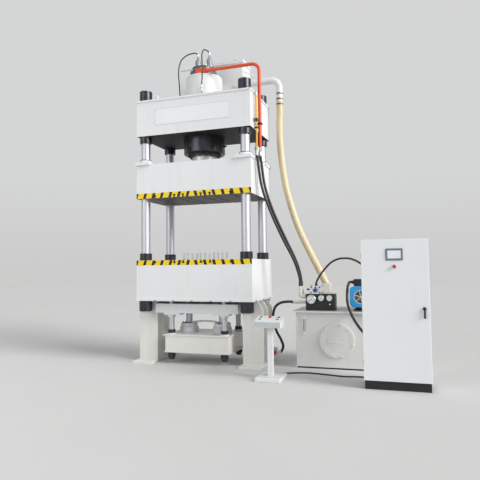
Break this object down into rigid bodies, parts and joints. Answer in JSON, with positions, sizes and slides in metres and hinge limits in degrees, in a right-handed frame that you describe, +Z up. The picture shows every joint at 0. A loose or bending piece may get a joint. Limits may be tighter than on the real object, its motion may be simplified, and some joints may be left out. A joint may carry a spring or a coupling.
{
  "type": "hydraulic press",
  "caption": "Four-column hydraulic press with moving slide, lower cushion with ejector pins, two-hand pedestal, hose-linked power unit and electrical cabinet.",
  "frame": {"origin": "on the floor, under the middle of the whole machine's box", "axes": "+Z up, -Y towards the operator, +X towards the power unit and cabinet"},
  "size_m": [4.61, 2.135, 5.2943],
  "materials": {
    "white_paint": "semi-gloss",
    "warm_grey_paint": "semi-gloss",
    "black_steel": "black oxide, satin",
    "chrome": "polished",
    "orange_paint": "gloss",
    "zinc_steel": "satin",
    "yellow_brass": "satin",
    "blue_paint": "semi-gloss",
    "red_plastic": "gloss",
    "green_plastic": "gloss",
    "dark_plastic": "matte",
    "black_rubber": "matte",
    "cream_hose": "satin"
  },
  "bodies": {
    "frame": {"bed": "white_paint", "crown": "white_paint", "column_front_left": "chrome", "column_front_right": "chrome", "column_back_left": "chrome", "column_back_right": "chrome", "bed_lower_nut_front_left": "black_steel", "bed_lower_nut_front_right": "black_steel", "bed_lower_nut_back_left": "black_steel", "bed_lower_nut_back_right": "black_steel", "bed_top_nut_front_left": "black_steel", "bed_top_nut_front_right": "black_steel", "bed_top_nut_back_left": "black_steel", "bed_top_nut_back_right": "black_steel", "crown_top_nut_front_left": "black_steel", "crown_top_nut_front_right": "black_steel", "crown_top_nut_back_left": "black_steel", "crown_top_nut_back_right": "black_steel", "leg_left": "white_paint", "leg_right": "white_paint", "main_cylinder": "white_paint", "cylinder_lock_nut": "black_steel", "fill_tank": "white_paint", "prefill_valve": "zinc_steel", "pressure_pipe": "orange_paint", "brass_pipe": "yellow_brass", "suction_pipe": "white_paint", "cushion_beam": "white_paint", "cushion_cylinder_left": "white_paint", "cushion_cylinder_right": "white_paint", "cushion_pipe": "zinc_steel", "pedestal_stand": "white_paint", "pedestal_box": "white_paint", "oil_tank": "warm_grey_paint", "tank_hatch": "warm_grey_paint", "gauge_block": "black_steel", "valve_stack": "zinc_steel", "pump_motor": "blue_paint", "cabinet_body": "white_paint", "cabinet_plinth": "black_steel", "suction_hose": "cream_hose", "pressure_hose_a": "black_rubber", "pressure_hose_b": "black_rubber", "cushion_hose": "black_rubber", "control_cable": "black_rubber", "motor_cable": "black_rubber", "pilot_hose_a": "black_rubber", "pilot_hose_b": "black_rubber", "pedestal_cable": "black_rubber"},
    "slide": {"slide": "white_paint", "ram": "chrome"},
    "cushion": {"cushion_plate": "white_paint"},
    "stop_button": {"stop_button": "red_plastic"},
    "hand_button_left": {"hand_button_left": "dark_plastic"},
    "hand_button_right": {"hand_button_right": "dark_plastic"},
    "start_button_left": {"start_button_left": "green_plastic"},
    "start_button_right": {"start_button_right": "green_plastic"},
    "door": {"cabinet_door": "white_paint"},
    "door_handle": {"door_handle": "black_steel"},
    "cabinet_stop_button": {"cabinet_stop_button": "red_plastic"}
  },
  "joints": [
    {"name": "slide_press", "type": "slide", "parent": "frame", "child": "slide", "axis": [0, 0, -1], "range_m": [0, 0.75]},
    {"name": "cushion_travel", "type": "slide", "parent": "frame", "child": "cushion", "axis": [0, 0, -1], "range_m": [0, 0.12]},
    {"name": "stop_press", "type": "slide", "parent": "frame", "child": "stop_button", "axis": [0, 0.2334, -0.9724], "range_m": [0, 0.006], "stiffness_N_per_m": 400, "springref_m": -0.004},
    {"name": "hand_left_press", "type": "slide", "parent": "frame", "child": "hand_button_left", "axis": [0, 0.2334, -0.9724], "range_m": [0, 0.006], "stiffness_N_per_m": 400, "springref_m": -0.004},
    {"name": "hand_right_press", "type": "slide", "parent": "frame", "child": "hand_button_right", "axis": [0, 0.2334, -0.9724], "range_m": [0, 0.006], "stiffness_N_per_m": 400, "springref_m": -0.004},
    {"name": "start_left_press", "type": "slide", "parent": "frame", "child": "start_button_left", "axis": [0, 0.2334, -0.9724], "range_m": [0, 0.006], "stiffness_N_per_m": 400, "springref_m": -0.004},
    {"name": "start_right_press", "type": "slide", "parent": "frame", "child": "start_button_right", "axis": [0, 0.2334, -0.9724], "range_m": [0, 0.006], "stiffness_N_per_m": 400, "springref_m": -0.004},
    {"name": "door_hinge", "type": "hinge", "parent": "frame", "child": "door", "pos_m": [1.489, -1.0325, 1], "axis": [0, 0, -1], "range_deg": [0, 110]},
    {"name": "handle_turn", "type": "hinge", "parent": "door", "child": "door_handle", "pos_m": [2.24, -1.0565, 1.02], "axis": [0, 1, 0], "range_deg": [0, 90]},
    {"name": "cabinet_stop_press", "type": "slide", "parent": "door", "child": "cabinet_stop_button", "axis": [0, 1, 0], "range_m": [0, 0.006], "stiffness_N_per_m": 400, "springref_m": -0.004}
  ]
}
